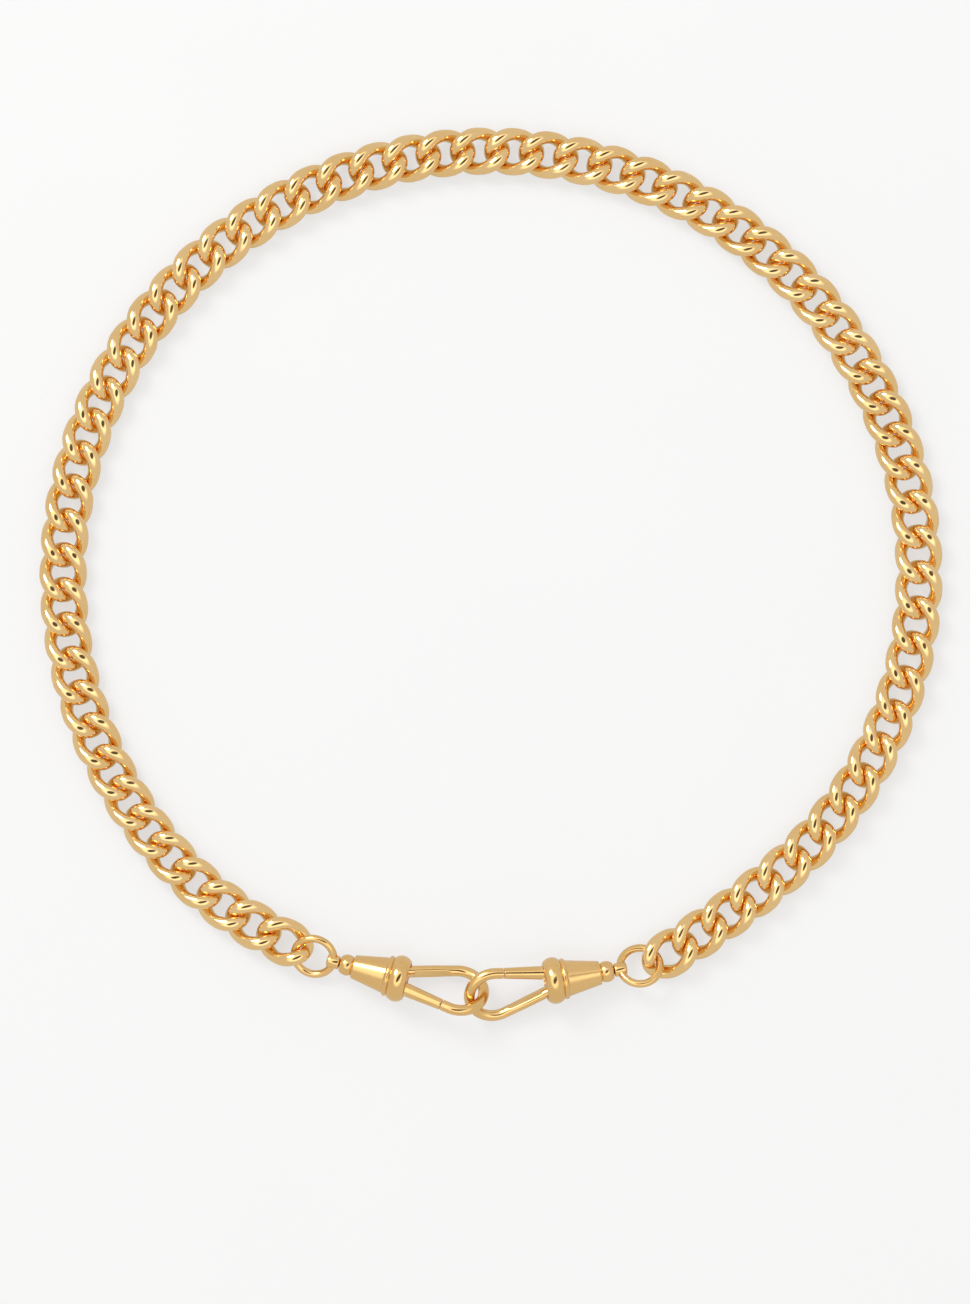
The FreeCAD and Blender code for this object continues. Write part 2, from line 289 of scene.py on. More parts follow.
def placed_piece(name: str, shells: Sequence[Shell], place: Matrix, body: str, nodes: Sequence[str],
                 sharp: float = 40.0) -> bpy.types.Object:
    """Make a piece of the necklace from shells and fasten it to its body.

    Args:
        name: The piece's name.
        shells: Closed surfaces in millimetres.
        place: Matrix to the row frame, which also turns millimetres into metres.
        body: Body that the piece moves with.
        nodes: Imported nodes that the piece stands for.
        sharp: Edges that bend more than this many degrees stay sharp.

    Returns:
        The object, with no material yet.
    """
    points: list[Vector] = []
    faces: list[tuple[int, ...]] = []
    corners: list[tuple[float, float]] = []
    for shell in shells:
        base = len(points)
        points += [place @ p for p in shell.points]
        faces += [tuple(base + n for n in face) for face in shell.faces]
        corners += [corner for face in shell.corners for corner in face]
    mesh = bpy.data.meshes.new(name)
    mesh.from_pydata(points, [], faces)
    layer = mesh.uv_layers.new(name="wire")
    layer.data.foreach_set("uv", np.array(corners, dtype=np.float32).ravel())
    mesh.shade_smooth()
    mesh.set_sharp_from_angle(angle=math.radians(sharp))
    piece = bpy.data.objects.new(name, mesh)
    bpy.context.scene.collection.objects.link(piece)
    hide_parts(*nodes)
    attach(piece, body)
    return piece


def cut_away(piece: bpy.types.Object, corner: Vector, size: Vector, place: Matrix) -> None:
    """Cut a box out of a piece.

    Args:
        piece: The piece, whose mesh is replaced by the cut one.
        corner: Lowest corner of the box in the box's own frame, in millimetres.
        size: Size of the box.
        place: Matrix from the box's frame to the row frame.
    """
    ends = [corner, corner + size]
    points = [place @ Vector((a.x, b.y, c.z)) for a in ends for b in ends for c in ends]
    mesh = bpy.data.meshes.new("cutter")
    faces = [(0, 1, 3, 2), (4, 6, 7, 5), (0, 4, 5, 1), (2, 3, 7, 6), (0, 2, 6, 4), (1, 5, 7, 3)]
    mesh.from_pydata(points, [], faces)
    cutter = bpy.data.objects.new("cutter", mesh)
    bpy.context.scene.collection.objects.link(cutter)
    modifier = piece.modifiers.new("cut", "BOOLEAN")
    modifier.operation = "DIFFERENCE"
    modifier.solver = "EXACT"
    modifier.object = cutter
    evaluated = piece.evaluated_get(bpy.context.evaluated_depsgraph_get())
    whole = bpy.data.meshes.new_from_object(evaluated)
    piece.modifiers.clear()
    piece.data = whole
    bpy.data.objects.remove(cutter)


# Finishes ---------------------------------------------------------------
class NodeKit:
    """Adds and links shader nodes in one tree."""

    def __init__(self, tree: bpy.types.NodeTree) -> None:
        """Keep the tree."""
        self.tree = tree

    def add(self, kind: str, **values: object) -> bpy.types.Node:
        """Add a node.

        Args:
            kind: Name of the node's type.
            **values: Settings of the node, or start values of its inputs by name with spaces as _.

        Returns:
            The node.
        """
        node = self.tree.nodes.new(kind)
        for key, value in values.items():
            if hasattr(node, key):
                setattr(node, key, value)
            else:
                node.inputs[key.replace("_", " ")].default_value = value
        return node

    def link(self, source: bpy.types.NodeSocket, target: bpy.types.NodeSocket) -> None:
        """Link an output to an input."""
        self.tree.links.new(source, target)

    def math(self, operation: str, first: object, second: object = 0.0) -> bpy.types.NodeSocket:
        """Add a Math node.

        Args:
            operation: What it works out.
            first: First socket or number.
            second: Second socket or number.

        Returns:
            The node's output.
        """
        node = self.add("ShaderNodeMath", operation=operation)
        for socket, value in zip(node.inputs, (first, second)):
            if isinstance(value, bpy.types.NodeSocket):
                self.link(value, socket)
            else:
                socket.default_value = value
        return node.outputs[0]

    def spread(self, value: bpy.types.NodeSocket, low: float, high: float, to_low: float = 0.0,
               to_high: float = 1.0) -> bpy.types.NodeSocket:
        """Map one range onto another, with soft ends.

        Args:
            value: The socket to map.
            low: Where the first range starts.
            high: Where it ends.
            to_low: Result at the start.
            to_high: Result at the end.

        Returns:
            The mapped socket.
        """
        node = self.add("ShaderNodeMapRange", interpolation_type="SMOOTHSTEP")
        ends = {"From Min": low, "From Max": high, "To Min": to_low, "To Max": to_high}
        for name, number in ends.items():
            node.inputs[name].default_value = number
        self.link(value, node.inputs["Value"])
        return node.outputs["Result"]

    def mix(self, factor: bpy.types.NodeSocket, first: object, second: object,
            blend: str = "MIX") -> bpy.types.NodeSocket:
        """Mix two colours.

        Args:
            factor: Share of the second colour.
            first: First colour, a socket or a tuple.
            second: Second colour.
            blend: How they are blended.

        Returns:
            The mixed colour's socket.
        """
        node = self.add("ShaderNodeMix", data_type="RGBA", blend_type=blend)
        self.link(factor, node.inputs["Factor"])
        for name, value in (("A", first), ("B", second)):
            socket = next(s for s in node.inputs if s.name == name and s.type == "RGBA")
            if isinstance(value, bpy.types.NodeSocket):
                self.link(value, socket)
            else:
                socket.default_value = (*value, 1.0)
        return next(s for s in node.outputs if s.type == "RGBA")


class SharedEffects:
    """The shader node groups that the finishes share, each built once.

    Noise scales are per metre, and a pair of numbers is where a noise's value starts and stops
    counting.
    """

    scratch_runs = ((0.5, (90.0, 1400.0, 900.0)), (-0.9, (1300.0, 80.0, 1000.0)))
    scratch_lean = 0.3
    scratch_edge = (0.62, 0.70)
    scratch_patches = 260.0
    patch_edge = (0.42, 0.66)
    haze_broad = 240.0
    haze_fine = 2600.0
    haze_broad_share = 0.65
    haze_edge = (0.38, 0.64)
    scratch_roughness = 0.12
    tone_clouds = 95.0
    tone_edge = (0.36, 0.66)
    rubbing_and_shade_breakup = 900.0
    rubbing_and_shade_edge = (0.35, 0.6)
    rubbing_and_shade_least = 0.4
    # ridge_edge picks the ridges that are rubbed bright; hollow_edge picks the hollows that get painted
    # shade.
    ridge_edge = (0.53, 0.62)
    hollow_edge = (0.47, 0.40)

    def __init__(self) -> None:
        """Build the groups."""
        self.scratches = self._scratches()
        self.haze = self._haze()
        self.tone = self._tone()
        self.rubbing_and_shade = self._rubbing_and_shade()

    @staticmethod
    def _group(name: str, inputs: dict[str, tuple[str, float]],
               outputs: dict[str, str]) -> tuple[NodeKit, bpy.types.Node, bpy.types.Node]:
        """Start a group.

        Args:
            name: The group's name.
            inputs: Type and start value of each input by name.
            outputs: Type of each output by name.

        Returns:
            The node kit of the group and its input and output nodes.
        """
        tree = bpy.data.node_groups.new(name, "ShaderNodeTree")
        for label, (kind, value) in inputs.items():
            socket = tree.interface.new_socket(label, in_out="INPUT", socket_type=kind)
            if kind == "NodeSocketFloat":
                socket.default_value = value
        for label, kind in outputs.items():
            tree.interface.new_socket(label, in_out="OUTPUT", socket_type=kind)
        kit = NodeKit(tree)
        return kit, kit.add("NodeGroupInput"), kit.add("NodeGroupOutput")

    def _scratches(self) -> bpy.types.NodeTree:
        """Hair scratches of polishing and wearing: fine lines in two directions, broken into patches.

        Returns:
            The group.
        """
        kit, source, sink = self._group(
            "hair scratches",
            {"Vector": ("NodeSocketVector", 0.0), "Scale": ("NodeSocketFloat", 1.0),
             "Amount": ("NodeSocketFloat", 0.5)},
            {"Height": "NodeSocketFloat", "Mask": "NodeSocketFloat"})
        lines = []
        for turn, stretch in self.scratch_runs:
            mapping = kit.add("ShaderNodeMapping")
            mapping.inputs["Rotation"].default_value = (turn, self.scratch_lean * turn, turn)
            mapping.inputs["Scale"].default_value = stretch
            kit.link(source.outputs["Vector"], mapping.inputs["Vector"])
            noise = kit.add("ShaderNodeTexNoise", Detail=2.0, Roughness=0.6)
            kit.link(mapping.outputs["Vector"], noise.inputs["Vector"])
            kit.link(source.outputs["Scale"], noise.inputs["Scale"])
            lines.append(kit.spread(noise.outputs["Fac"], *self.scratch_edge))
        patches = kit.add("ShaderNodeTexNoise", Scale=self.scratch_patches, Detail=3.0)
        kit.link(source.outputs["Vector"], patches.inputs["Vector"])
        where = kit.spread(patches.outputs["Fac"], *self.patch_edge)
        both = kit.math("MAXIMUM", lines[0], lines[1])
        mask = kit.math("MULTIPLY", kit.math("MULTIPLY", both, where), source.outputs["Amount"])
        kit.link(mask, sink.inputs["Mask"])
        kit.link(kit.math("SUBTRACT", 1.0, mask), sink.inputs["Height"])
        return kit.tree

    def _haze(self) -> bpy.types.NodeTree:
        """Polish that is brighter in some places than in others.

        Returns:
            The group.
        """
        kit, source, sink = self._group(
            "polish haze",
            {"Vector": ("NodeSocketVector", 0.0), "Bright": ("NodeSocketFloat", 0.08),
             "Dull": ("NodeSocketFloat", 0.16), "Scratch": ("NodeSocketFloat", 0.0)},
            {"Roughness": "NodeSocketFloat"})
        broad = kit.add("ShaderNodeTexNoise", Scale=self.haze_broad, Detail=4.0, Roughness=0.55)
        fine = kit.add("ShaderNodeTexNoise", Scale=self.haze_fine, Detail=3.0, Roughness=0.65)
        for noise in (broad, fine):
            kit.link(source.outputs["Vector"], noise.inputs["Vector"])
        blend = kit.math("ADD", kit.math("MULTIPLY", broad.outputs["Fac"], self.haze_broad_share),
                         kit.math("MULTIPLY", fine.outputs["Fac"], 1 - self.haze_broad_share))
        share = kit.spread(blend, *self.haze_edge)
        width = kit.math("SUBTRACT", source.outputs["Dull"], source.outputs["Bright"])
        rough = kit.math("ADD", source.outputs["Bright"], kit.math("MULTIPLY", share, width))
        scratched = kit.math("MULTIPLY", source.outputs["Scratch"], self.scratch_roughness)
        kit.link(kit.math("ADD", rough, scratched), sink.inputs["Roughness"])
        return kit.tree

    def _tone(self) -> bpy.types.NodeTree:
        """Plating whose colour drifts a little over the piece.

        Returns:
            The group.
        """
        kit, source, sink = self._group(
            "plating tone",
            {"Vector": ("NodeSocketVector", 0.0), "Pale": ("NodeSocketColor", 0.0),
             "Deep": ("NodeSocketColor", 0.0), "Drift": ("NodeSocketFloat", 0.5)},
            {"Color": "NodeSocketColor"})
        cloud = kit.add("ShaderNodeTexNoise", Scale=self.tone_clouds, Detail=3.0, Roughness=0.5)
        kit.link(source.outputs["Vector"], cloud.inputs["Vector"])
        patches = kit.spread(cloud.outputs["Fac"], *self.tone_edge)
        share = kit.math("MULTIPLY", patches, source.outputs["Drift"])
        kit.link(kit.mix(share, source.outputs["Pale"], source.outputs["Deep"]), sink.inputs["Color"])
        return kit.tree

    def _rubbing_and_shade(self) -> bpy.types.NodeTree:
        """Where ridges are rubbed bright and the hollows get a little painted shade.

        Returns:
            The group.
        """
        kit, source, sink = self._group(
            "rubbed ridges and painted hollow shade",
            {"Vector": ("NodeSocketVector", 0.0), "Ridge": ("NodeSocketFloat", 0.5),
             "Hollow": ("NodeSocketFloat", 0.5)},
            {"Rubbed": "NodeSocketFloat", "Painted shade": "NodeSocketFloat"})
        shape = kit.add("ShaderNodeNewGeometry")
        breakup = kit.add("ShaderNodeTexNoise", Scale=self.rubbing_and_shade_breakup, Detail=3.0)
        kit.link(source.outputs["Vector"], breakup.inputs["Vector"])
        patch = kit.spread(breakup.outputs["Fac"], *self.rubbing_and_shade_edge, self.rubbing_and_shade_least, 1.0)
        ridge = kit.spread(shape.outputs["Pointiness"], *self.ridge_edge)
        # Painted shade: the more a place curves inwards, the more it is darkened.
        hollow = kit.spread(shape.outputs["Pointiness"], *self.hollow_edge)
        kit.link(kit.math("MULTIPLY", kit.math("MULTIPLY", ridge, patch), source.outputs["Ridge"]),
                 sink.inputs["Rubbed"])
        kit.link(kit.math("MULTIPLY", kit.math("MULTIPLY", hollow, patch), source.outputs["Hollow"]),
                 sink.inputs["Painted shade"])
        return kit.tree


@dataclass(frozen=True)
class MetalFinish:
    """Polished metal with plating tone, uneven polish, hair scratches, rubbed ridges and painted shade in
    the hollows.

    Args:
        name: The material's name.
        pale: Colour of the metal, linear.
        deep: Colour that it drifts to.
        hollow_shade_colour: Colour painted into the hollows as shade.
        bright: Roughness where the polish is best.
        dull: Roughness where it is hazy.
        scratches: Share of the hair scratches.
        scratch_depth: Height of the scratches in metres.
        ripple_depth: Height of the slow unevenness of hand polishing in metres.
        ripple_scale: Ripples per metre.
        ridge_wear: How much rubbed ridges brighten.
        hollow_shade: How much painted shade darkens the hollows.
        drift: How far the colour drifts.
        rubbed_gain: How many times brighter a rubbed edge is.
        rubbed_lift: How much paler it is.
    """

    name: str
    pale: tuple[float, float, float]
    deep: tuple[float, float, float]
    hollow_shade_colour: tuple[float, float, float]
    bright: float
    dull: float
    scratches: float = 0.35
    scratch_depth: float = 0.000003
    ripple_depth: float = 0.00001
    ripple_scale: float = 520.0
    ridge_wear: float = 0.4
    hollow_shade: float = 0.5
    drift: float = 0.7
    rubbed_gain: float = 1.12
    rubbed_lift: float = 0.03

    def build(self, effects: SharedEffects) -> bpy.types.Material:
        """Make the material.

        Args:
            effects: The shared node groups.

        Returns:
            The material.
        """
        material = bpy.data.materials.new(self.name)
        material.use_nodes = True
        kit = NodeKit(material.node_tree)
        shader = material.node_tree.nodes["Principled BSDF"]
        shader.inputs["Metallic"].default_value = 1.0
        place = kit.add("ShaderNodeTexCoord").outputs["Object"]

        scratches = kit.add("ShaderNodeGroup", node_tree=effects.scratches, Scale=1.0,
                            Amount=self.scratches)
        tone = kit.add("ShaderNodeGroup", node_tree=effects.tone, Pale=(*self.pale, 1.0),
                       Deep=(*self.deep, 1.0), Drift=self.drift)
        rubbing_and_shade = kit.add("ShaderNodeGroup", node_tree=effects.rubbing_and_shade, Ridge=self.ridge_wear,
                       Hollow=self.hollow_shade)
        haze = kit.add("ShaderNodeGroup", node_tree=effects.haze, Bright=self.bright, Dull=self.dull)
        for group in (scratches, tone, rubbing_and_shade, haze):
            kit.link(place, group.inputs["Vector"])
        kit.link(scratches.outputs["Mask"], haze.inputs["Scratch"])
        worn = tuple(min(1.0, c * self.rubbed_gain + self.rubbed_lift) for c in self.pale)
        rubbed = kit.mix(rubbing_and_shade.outputs["Rubbed"], tone.outputs["Color"], worn)
        # Painted shade: the hollows are mixed towards the grime colour.
        kit.link(kit.mix(rubbing_and_shade.outputs["Painted shade"], rubbed, self.hollow_shade_colour), shader.inputs["Base Color"])
        kit.link(haze.outputs["Roughness"], shader.inputs["Roughness"])

        ripple = kit.add("ShaderNodeTexNoise", Scale=self.ripple_scale, Detail=2.0, Roughness=0.5)
        kit.link(place, ripple.inputs["Vector"])
        slow = kit.add("ShaderNodeBump", Distance=self.ripple_depth, Strength=1.0)
        kit.link(ripple.outputs["Fac"], slow.inputs["Height"])
        fine = kit.add("ShaderNodeBump", Distance=self.scratch_depth, Strength=1.0)
        kit.link(scratches.outputs["Height"], fine.inputs["Height"])
        kit.link(slow.outputs["Normal"], fine.inputs["Normal"])
        kit.link(fine.outputs["Normal"], shader.inputs["Normal"])
        return material


@dataclass(frozen=True)
class FloorFinish:
    """Plain matt white board.

    Args:
        colour: Its colour, linear.
        glow: Light that comes up through it, as on a lit table.
        seen_glow: The same light as it is seen directly.
        roughness: How matt it is.
        shine: Its specular level.
        mottle_scale: Clouds of the mottle per metre.
        mottle_edge: Where the mottle starts and stops counting.
        mottle: Brightness of its darker clouds.
    """

    colour: tuple[float, float, float] = (0.300, 0.300, 0.301)
    glow: float = 0.42
    seen_glow: float = 0.59
    roughness: float = 0.9
    shine: float = 0.1
    mottle_scale: float = 30.0
    mottle_edge: tuple[float, float] = (0.3, 0.7)
    mottle: float = 0.99

    def build(self) -> bpy.types.Material:
        """Make the material, with a very faint mottle.

        Returns:
            The material.
        """
        material = bpy.data.materials.new("white board")
        material.use_nodes = True
        kit = NodeKit(material.node_tree)
        shader = material.node_tree.nodes["Principled BSDF"]
        shader.inputs["Roughness"].default_value = self.roughness
        shader.inputs["Specular IOR Level"].default_value = self.shine
        shader.inputs["Emission Color"].default_value = (1.0, 1.0, 1.0, 1.0)
        seen = kit.add("ShaderNodeLightPath").outputs["Is Camera Ray"]
        extra = kit.math("MULTIPLY", seen, self.seen_glow - self.glow)
        kit.link(kit.math("ADD", extra, self.glow), shader.inputs["Emission Strength"])
        cloud = kit.add("ShaderNodeTexNoise", Scale=self.mottle_scale, Detail=3.0)
        kit.link(kit.add("ShaderNodeTexCoord").outputs["Object"], cloud.inputs["Vector"])
        share = kit.spread(cloud.outputs["Fac"], *self.mottle_edge)
        darker = tuple(c * self.mottle for c in self.colour)
        kit.link(kit.mix(share, self.colour, darker), shader.inputs["Base Color"])
        return material


# Chain ------------------------------------------------------------------
@dataclass
class CurbLink:
    """One twisted link of round wire.

    Args:
        wire: Diameter of the wire.
        inside_length: Length of the hole.
        width: Outside width across the chain.
        twist: Degrees that each end is turned about the link's length.
        fullness: 1 is an ellipse, lower is squarer.
        pressed_wide: How much wider the wire is pressed where it passes over or under a neighbour.
        pressed_flat: How much thinner it is pressed there.
        stations: Rings of vertices along the wire.
        sides: Vertices around the wire.
    """

    wire: float = 2.08
    inside_length: float = 6.12
    width: float = 8.05
    twist: float = 47.0
    fullness: float = 0.97
    pressed_wide: float = 0.13
    pressed_flat: float = 0.08
    stations: int = 144
    sides: int = 32

    def point(self, turn: float) -> Vector:
        """Find a point of the wire's middle line.

        Args:
            turn: Angle round the link, from 0 to a full turn.

        Returns:
            The point.
        """
        half_length = (self.inside_length + self.wire) / 2
        half_width = (self.width - self.wire) / 2
        cos_turn, sin_turn = math.cos(turn), math.sin(turn)
        along = half_length * math.copysign(abs(cos_turn) ** self.fullness, cos_turn)
        across = half_width * math.copysign(abs(sin_turn) ** self.fullness, sin_turn)
        lean = -math.radians(self.twist) * along / half_length
        return Vector((along, across * math.cos(lean), across * math.sin(lean)))

    def shell(self) -> Shell:
        """Build the link about the origin, lying along its own first axis.

        Returns:
            The link's surface.
        """
        path = [self.point(FULL_TURN * (i + 0.5) / self.stations) for i in range(self.stations)]
        headings = [(path[(i + 1) % len(path)] - path[i - 1]).normalized() for i in range(len(path))]
        normal = headings[0].cross(Vector((0, 0, 1))).normalized()
        rows = []
        for middle, ahead in zip(path, headings):
            normal = (normal - ahead * normal.dot(ahead)).normalized()
            side = ahead.cross(normal)
            angles = [FULL_TURN * j / self.sides for j in range(self.sides)]
            radius = self.wire / 2
            rows.append([middle + (normal * math.cos(a) + side * math.sin(a)) * radius for a in angles])
        rows = self._closed(rows, headings[0])
        return grid_shell([self._pressed(*station) for station in zip(rows, path, headings)], closed=True)

    def _pressed(self, ring: list[Vector], middle: Vector, ahead: Vector) -> list[Vector]:
        """Flatten a ring of points as far as it lies high or low.

        Args:
            ring: Points round the wire.
            middle: Their middle.
            ahead: Direction of the wire.

        Returns:
            The pressed ring.
        """
        height = min(1.0, abs(middle.z) / self.rise())
        share = height * height * (3 - 2 * height)
        sideways = Vector((ahead.y, -ahead.x, 0)).normalized()
        result = []
        for point in ring:
            offset = point - middle
            offset += sideways * offset.dot(sideways) * self.pressed_wide * share
            offset.z *= 1 - self.pressed_flat * share
            result.append(middle + offset)
        return result

    def rise(self) -> float:
        """Greatest height of the centreline above the link's middle."""
        return max(self.point(FULL_TURN * i / 90).z for i in range(90))

    @staticmethod
    def _closed(rows: list[list[Vector]], ahead: Vector) -> list[list[Vector]]:
        """Spread the turn left over at the end of the loop evenly over its rings.

        Args:
            rows: Rings of points round the loop.
            ahead: Direction of the wire at the first ring.

        Returns:
            The rings, each turned by its share, so that the last meets the first.
        """
        count, sides = len(rows), len(rows[0])
        middles = [sum(row, Vector()) / sides for row in rows]
        first = rows[0][0] - middles[0]
        last = rows[-1][0] - middles[-1]
        last = (last - ahead * last.dot(ahead)).normalized()
        slip = math.atan2(first.cross(last).dot(ahead), first.dot(last))
        turned_rows = []
        for i, row in enumerate(rows):
            nearby = middles[(i + 1) % count] - middles[i - 1]
            turn = Matrix.Rotation(-slip * i / count, 3, nearby.normalized())
            turned_rows.append([middles[i] + turn @ (p - middles[i]) for p in row])
        return turned_rows


@dataclass
class CurbChain:
    """All links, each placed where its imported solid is.

    Args:
        link: The link that repeats.
        finish: Finish of the wire.
    """

    link: CurbLink = field(default_factory=CurbLink)
    # Its grime colour is painted shade in the hollows of the links.
    finish: MetalFinish = MetalFinish(
        name="gold plated wire", pale=(0.90, 0.622, 0.293), deep=(0.86, 0.57, 0.243),
        hollow_shade_colour=(0.50, 0.25, 0.06), bright=0.06, dull=0.13)

    def build(self) -> list[bpy.types.Object]:
        """Make a piece for each link, named by its place along the chain.

        Returns:
            The links.
        """
        shell = self.link.shell()
        pieces = []
        for node in sorted(n for n in frame["nodes"] if n.startswith("link")):
            numbers = node.split("_")[1:]
            places = [solid_frame(solid) for solid in solids_of(node)]
            if len(places) > 1:
                places.sort(key=lambda place, node=node: self._order(place, node))
            for number, place in zip(numbers, places):
                pieces.append(placed_piece(f"curb_link_{number}", [shell], place, node, [node]))
        return pieces

    @staticmethod
    def _order(place: Matrix, node: str) -> float:
        """Work out what puts the two links of a pair in order.

        Args:
            place: Where one of the links is.
            node: The pair's node.

        Returns:
            A number that is higher for the link nearer to the node that comes next.
        """
        following = int(node.split("_")[-1]) + 1
        later = next(n for n in frame["nodes"]
                     if n.startswith("link") and int(n.split("_")[1]) == following)
        low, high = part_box(later)
        return -(place.translation - (low + high) / 2).length

    def dress(self, pieces: Sequence[bpy.types.Object], effects: SharedEffects) -> None:
        """Give each link the wire's finish.

        Args:
            pieces: The links.
            effects: The shared node groups.
        """
        material = self.finish.build(effects)
        for piece in pieces:
            piece.data.materials.append(material)


# Clips ------------------------------------------------------------------
class Side(Enum):
    """The two clips, as their names start."""

    LEFT = "left"
    RIGHT = "right"


def joint_named(name: str) -> dict:
    """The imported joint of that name."""
    return next(j for j in frame["joints"] if j["name"] == name)


def clip_frame(side: Side) -> Matrix:
    """Frame of a clip: u towards the nose from 0 at the collar's face, v towards the fixed arm.

    Args:
        side: Which clip.

    Returns:
        Matrix from the clip's millimetres to the row frame.
    """
    swivel = joint_named(f"{side.value}_swivel_turn")
    hinge = joint_named(f"{side.value}_gate_hinge")
    u, w = Vector(swivel["axis"]).normalized(), Vector(hinge["axis"]).normalized()
    v = w.cross(u)
    middle = Vector(swivel["pos_m"]) / MM
    matrix = Matrix([[u[i], v[i], w[i], middle[i]] for i in range(3)] + [[0, 0, 0, 1]])
    return Matrix.Scale(MM, 4) @ matrix


@dataclass
class Barrel:
    """Turned barrel: neck bead, cone, thin rim and rounded collar, hollow for the hook's base.

    Lengths run back along the barrel from 0 at the collar's face.

    Args:
        collar_radius: Greatest radius of the rounded collar.
        collar_length: Length of the collar.
        face_radius: Where the collar's front face turns into its rounding.
        rim_radius: Greatest radius of the thin rim behind the collar.
        rim_front_radius: Radius of the groove between the two.
        rim_length: Length of the rim.
        cone_wide: Radius of the cone at the rim.
        cone_narrow: Radius of the cone at its other end.
        cone_end: Place of that end.
        neck_end: Place of the barrel's back end.
        neck_radius: Greatest radius of the neck bead.
        neck_end_radius: Radius of the bead at the back end.
        groove_radius: Radius of the groove between bead and cone.
        groove_width: Width of that groove.
        bore: Radius of the hole for the swivel's post.
        front_wall: Thickness of the wall at the seat.
        back_wall: Thickness of the wall at the cone's narrow end.
        seat_radius: Radius of the bore that takes the hook's base.
        seat_depth: Depth of that bore.
        collar_steps: Rings of vertices along the collar.
        rim_steps: Rings along the rim.
        cone_steps: Rings along the cone.
        neck_steps: Rings along the neck bead.
        soft_corner: Corners that turn less than this many degrees aren't rounded.
        edge_rounding: How far from each edge its rounding starts.
    """

    collar_radius: float = 3.98
    collar_length: float = 2.95
    face_radius: float = 3.2
    rim_radius: float = 3.5
    rim_front_radius: float = 3.3
    rim_length: float = 0.85
    cone_wide: float = 3.1
    cone_narrow: float = 2.0
    cone_end: float = -9.5
    neck_end: float = -11.75
    neck_radius: float = 1.8
    neck_end_radius: float = 1.3
    groove_radius: float = 1.5
    groove_width: float = 0.1
    bore: float = 0.6
    front_wall: float = 0.55
    back_wall: float = 0.65
    seat_radius: float = 2.95
    seat_depth: float = 2.4
    collar_steps: int = 28
    rim_steps: int = 14
    cone_steps: int = 24
    neck_steps: int = 20
    soft_corner: float = 24.0
    edge_rounding: float = 0.12

    def profile(self) -> list[tuple[float, float]]:
        """Draw the closed outline of the barrel's half section.

        Returns:
            (u, radius) pairs, of which the last repeats the first.
        """
        rim_back = -self.collar_length - self.rim_length
        neck_middle = (self.neck_end + self.cone_end) / 2
        collar = arc_points((0, self.face_radius), (-self.collar_length / 2, self.collar_radius),
                            (-self.collar_length, self.rim_front_radius), self.collar_steps)
        rim = arc_points((-self.collar_length, self.rim_front_radius),
                         (-self.collar_length - self.rim_length / 2, self.rim_radius),
                         (rim_back, self.cone_wide), self.rim_steps)
        neck = arc_points((self.cone_end - self.groove_width, self.groove_radius),
                          (neck_middle, self.neck_radius), (self.neck_end, self.neck_end_radius),
                          self.neck_steps)
        shares = [i / self.cone_steps for i in range(self.cone_steps + 1)]
        cone = [(rim_back + (self.cone_end - rim_back) * share,
                 self.cone_wide + (self.cone_narrow - self.cone_wide) * share) for share in shares]
        inside = [(self.neck_end, self.bore), (self.cone_end, self.bore),
                  (self.cone_end, self.cone_narrow - self.back_wall),
                  (-self.seat_depth, self.cone_wide - self.front_wall),
                  (-self.seat_depth, self.seat_radius), (0, self.seat_radius)]
        outline = [(0, self.seat_radius)] + collar + rim[1:] + cone[1:] + neck + inside
        return softened(outline, self.edge_rounding, self.soft_corner)

    def build(self, side: Side, place: Matrix) -> bpy.types.Object:
        """Make the barrel of a clip.

        Args:
            side: Which clip.
            place: The clip's frame.

        Returns:
            The barrel.
        """
        name = f"{side.value}_barrel"
        return placed_piece(name, [turned(self.profile())], place, f"{side.value}_clip",
                            [f"{side.value}_clip_barrel"])


